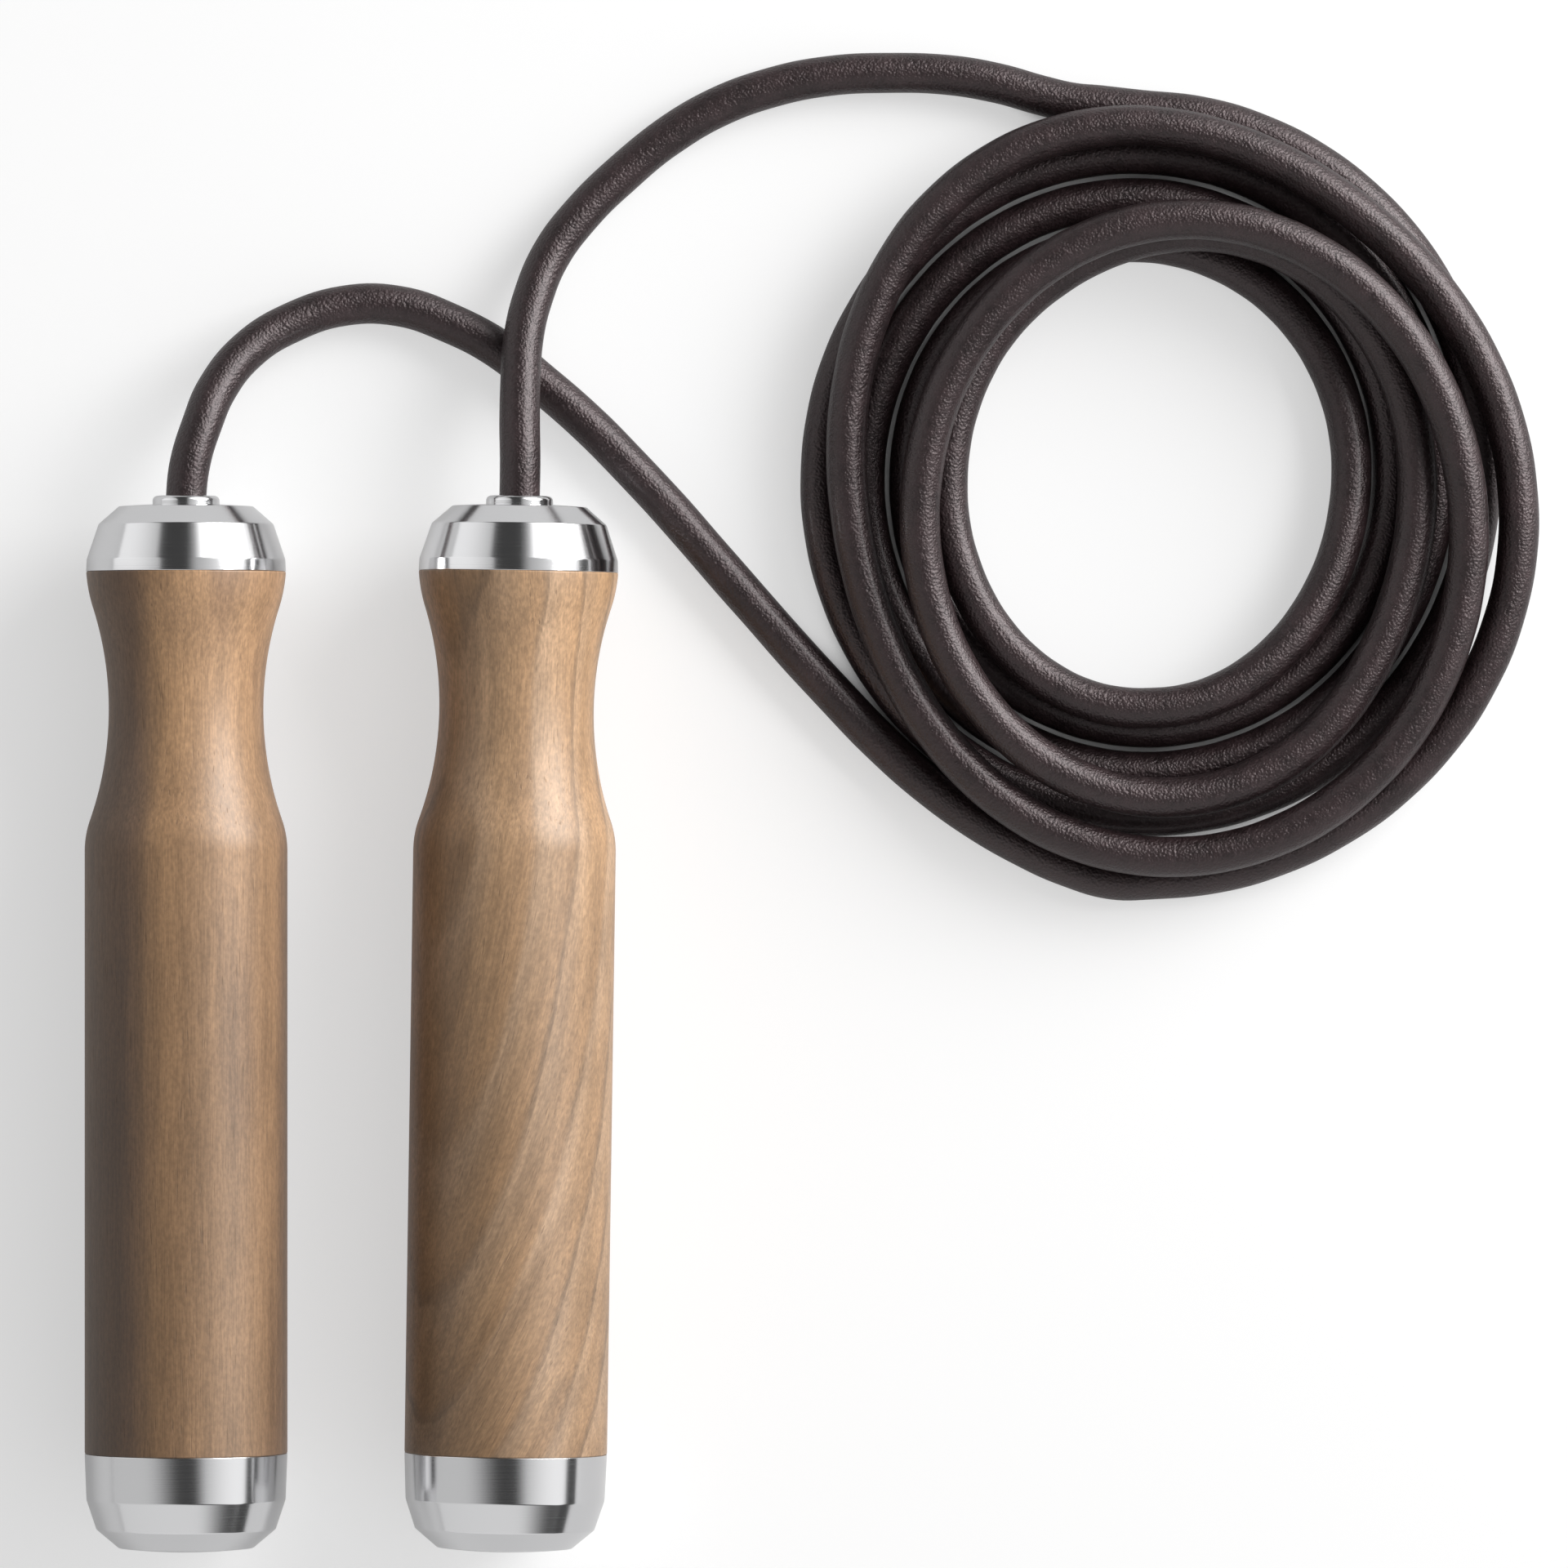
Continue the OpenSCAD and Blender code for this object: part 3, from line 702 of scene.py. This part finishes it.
frontCapSet = {
    "top": (6.05, 180.9),
    "topRim": (11.6, 180.55),
    "edgeAt": (15.1, 177.5),
    "bandFrom": (17.15, 171.4),
    "seam": (17.25, 169.3),
    "spigot": (10.98, 162.3),
    "seat": 9.52,
    "groove": (10.0, 170.5, 171.6),
    "shoulder": (8.3, 176.6, 177.0),
    "edge": 0.12,
}


def makeFrontCap(side):
    s = frontCapSet
    grooveRadius, grooveFrom, grooveTo = s["groove"]
    shoulderRadius, shoulderFrom, shoulderTo = s["shoulder"]
    outline = [s["top"], s["topRim"], s["edgeAt"], s["bandFrom"], s["seam"],
               (s["spigot"][0], s["seam"][1]), s["spigot"], (s["seat"], s["spigot"][1]),
               (s["seat"], grooveFrom), (grooveRadius, grooveFrom), (grooveRadius, grooveTo),
               (s["seat"], grooveTo), (s["seat"], shoulderFrom), (shoulderRadius, shoulderFrom),
               (shoulderRadius, shoulderTo), (s["top"][0], shoulderTo)]
    turnPiece(side + "_front_cap", outline, side, steel, side + "_handle", s["edge"],
              closed=True)


sleeveSet = {
    "hole": 3.6,
    "from": 168.0,
    "shaft": 4.98,
    "groove": (4.6, 170.5, 171.6),
    "shoulderAt": 176.6,
    "nose": 5.8,
    "noseTop": 182.4,
    "noseRound": 0.9,
    "roundSteps": 6,
    "mouth": 0.3,
    "edge": 0.06,
}


def makeSleeve(side):
    s = sleeveSet
    grooveRadius, grooveFrom, grooveTo = s["groove"]
    outline = [(s["hole"], s["from"]), (s["shaft"], s["from"]), (s["shaft"], grooveFrom),
               (grooveRadius, grooveFrom), (grooveRadius, grooveTo), (s["shaft"], grooveTo),
               (s["shaft"], s["shoulderAt"]), (s["nose"], s["shoulderAt"])]
    for i in range(s["roundSteps"] + 1):
        a = math.pi / 2 * i / s["roundSteps"]
        outline.append((s["nose"] - s["noseRound"] * (1 - math.cos(a)),
                        s["noseTop"] - s["noseRound"] * (1 - math.sin(a))))
    outline += [(s["hole"] + s["mouth"], s["noseTop"]), (s["hole"], s["noseTop"] - s["mouth"])]
    turnPiece(side + "_swivel_sleeve", outline, side, steel, "rope", s["edge"], closed=True)


for side in sides:
    makeGrip(side)
    makeRearCap(side)
    makeFrontCap(side)
    makeSleeve(side)
print("handles turned")


# pieces inside the handles keep their solids and get a finish
finishes = {
    "front_insert": brass, "rear_insert": brass, "ball_cage": brass, "rope_stop": groundSteel,
    "outer_race": groundSteel, "inner_race": groundSteel, "bearing_balls": groundSteel,
    "bearing_shields": groundSteel, "shaft_ring": groundSteel, "bore_ring": groundSteel,
    "stop_screw": groundSteel,
}
for side in sides:
    for part, material in finishes.items():
        solid = frame["nodes"][side + "_" + part]
        solid.data.materials.clear()
        solid.data.materials.append(material)
print("inner pieces finished")


floorSet = {
    "size": 8.0,
    "bounce": (0.4, 0.4, 0.4, 1.0),     # what the floor gives back to the object
    "seen": (0.5, 0.5, 0.5, 1.0),       # what shows of the light and shadow on it
    "lift": 0.56,                       # evens it out to white for the camera
    "mirroredLift": 0.26,               # and to a pale grey in polished steel
    "paintedShadeReach": 0.01,                    # painted contact shade: how near the object has to be to shut that lift out
    "paintedShadeFade": (0.08, 0.45),
    "roughness": 0.95,
}


def makeFloor():
    s = floorSet
    bm = bmesh.new()
    bmesh.ops.create_grid(bm, x_segments=1, y_segments=1, size=s["size"] / 2)
    mesh = bpy.data.meshes.new("floor")
    bm.to_mesh(mesh)
    bm.free()
    floor = bpy.data.objects.new("floor", mesh)
    bpy.context.scene.collection.objects.link(floor)
    material, tree, shader = newMaterial("pale floor", {
        "Emission Color": (1.0, 1.0, 1.0, 1.0), "Roughness": s["roughness"], "Specular IOR Level": 0.0})
    path = addNode(tree, "LightPath").outputs
    mirrored = combine(tree, "MAXIMUM", path["Is Glossy Ray"], path["Is Transmission Ray"])
    shows = combine(tree, "MAXIMUM", path["Is Camera Ray"], mirrored)
    lift = combine(tree, "MAXIMUM", combine(tree, "MULTIPLY", path["Is Camera Ray"], s["lift"]),
                   combine(tree, "MULTIPLY", mirrored, s["mirroredLift"]))
    # painted shade: where ambient occlusion finds the object near, the lift fades out, so crevices and the
    # floor along the object are painted darker
    clear = addNode(tree, "AmbientOcclusion", {"Distance": s["paintedShadeReach"]}).outputs["AO"]
    lift = combine(tree, "MULTIPLY", lift, smoothStep(tree, clear, *s["paintedShadeFade"]))
    tree.links.new(mixColors(tree, shows, s["bounce"], s["seen"]), shader.inputs["Base Color"])
    tree.links.new(lift, shader.inputs["Emission Strength"])
    floor.data.materials.append(material)


lightSet = {
    "keyPlace": (1.19, 0.72, 0.72),     # m, like the aim and the size
    "keyAim": (0.06, 0.04, 0.0),
    "keySize": 1.0,
    "keyPower": 26.0,
    "soft": (0.05, 0.85),           # light that falls on everything from the left and from the right
    "softSpread": (-0.4, 0.75),
    "dark": 0.05,                   # the unlit gap between the screens
    "gapLeft": (1.85, -0.3),        # its left edge: how far that runs to the right behind, and from where
    "gapRight": (1.3, 0.03),
    "leftScreen": (0.3, 0.5),       # what is added behind, and brightness
    "leftFade": 0.65,
    "panel": 0.45,                  # a brighter sheet before the left screen
    "panelSide": (-0.42, -0.5),
    "panelFront": (0.0, 0.08),
    "rightScreen": (0.45, 0.5),     # brightness at its edge, and what is added further out
    "rightFade": 0.27,
    "rightRise": (0.2, 0.95),
    "rightFoot": (0.2, 0.3),        # how low it reaches
    "window": 2.0,                  # a bright window low at the front on the right
    "windowTowards": (0.66, 0.65, 0.37),
    "windowEdge": (0.8, 0.96),
}


def makeLight():
    s = lightSet
    lamp = bpy.data.lights.new("key", "AREA")
    lamp.size = s["keySize"]
    lamp.energy = s["keyPower"]
    key = bpy.data.objects.new("key", lamp)
    key.location = s["keyPlace"]
    key.rotation_euler = (Vector(s["keyAim"]) - key.location).to_track_quat("-Z", "Y").to_euler()
    bpy.context.scene.collection.objects.link(key)


# brightness of the studio as polished pieces mirror it, by direction
def screens(tree, direction, towards):
    s = lightSet
    behind = combine(tree, "MAXIMUM", combine(tree, "MULTIPLY", towards["Y"], -1.0), 0.0)
    pastLeft = combine(tree, "SUBTRACT", scaleAndAdd(tree, behind, *s["gapLeft"]), towards["X"])
    pastRight = combine(tree, "SUBTRACT", towards["X"], scaleAndAdd(tree, behind, *s["gapRight"]))
    leftLevel = scaleAndAdd(tree, behind, *s["leftScreen"])
    left = combine(tree, "MULTIPLY", smoothStep(tree, pastLeft, 0.0, s["leftFade"]), leftLevel)
    panel = combine(tree, "MULTIPLY", smoothStep(tree, towards["X"], *s["panelSide"], 0.0, s["panel"]),
                    smoothStep(tree, towards["Y"], *s["panelFront"]))
    rightLevel = smoothStep(tree, towards["X"], *s["rightRise"], s["rightScreen"][0], sum(s["rightScreen"]))
    right = combine(tree, "MULTIPLY", smoothStep(tree, pastRight, 0.0, s["rightFade"]), rightLevel)
    right = combine(tree, "MULTIPLY", right, smoothStep(tree, towards["Z"], *s["rightFoot"]))
    facing = addNode(tree, "VectorMath", {0: direction, 1: s["windowTowards"]}, operation="DOT_PRODUCT")
    window = smoothStep(tree, facing.outputs["Value"], *s["windowEdge"], 0.0, s["window"])
    level = s["dark"]
    for added in (left, panel, right, window):
        level = combine(tree, "ADD", level, added)
    return level


def makeWorld():
    s = lightSet
    world = bpy.data.worlds.new("studio")
    world.use_nodes = True
    tree = world.node_tree
    direction = addNode(tree, "TexCoord").outputs["Generated"]
    towards = addNode(tree, "SeparateXYZ", {0: direction}).outputs
    soft = smoothStep(tree, towards["X"], *s["softSpread"], *s["soft"])
    path = addNode(tree, "LightPath").outputs
    mirrored = combine(tree, "MAXIMUM", path["Is Glossy Ray"], path["Is Transmission Ray"])
    level = addNode(tree, "Mix", {0: mirrored, 2: soft, 3: screens(tree, direction, towards)}).outputs[0]
    shown = addNode(tree, "Mix", {0: path["Is Camera Ray"], 2: level, 3: 1.0}).outputs[0]
    back = tree.nodes["Background"]
    back.inputs["Color"].default_value = (1.0, 1.0, 1.0, 1.0)
    tree.links.new(shown, back.inputs["Strength"])
    bpy.context.scene.world = world


makeFloor()
makeLight()
makeWorld()
bpy.context.scene.view_settings.view_transform = "Standard"
print("studio lit")
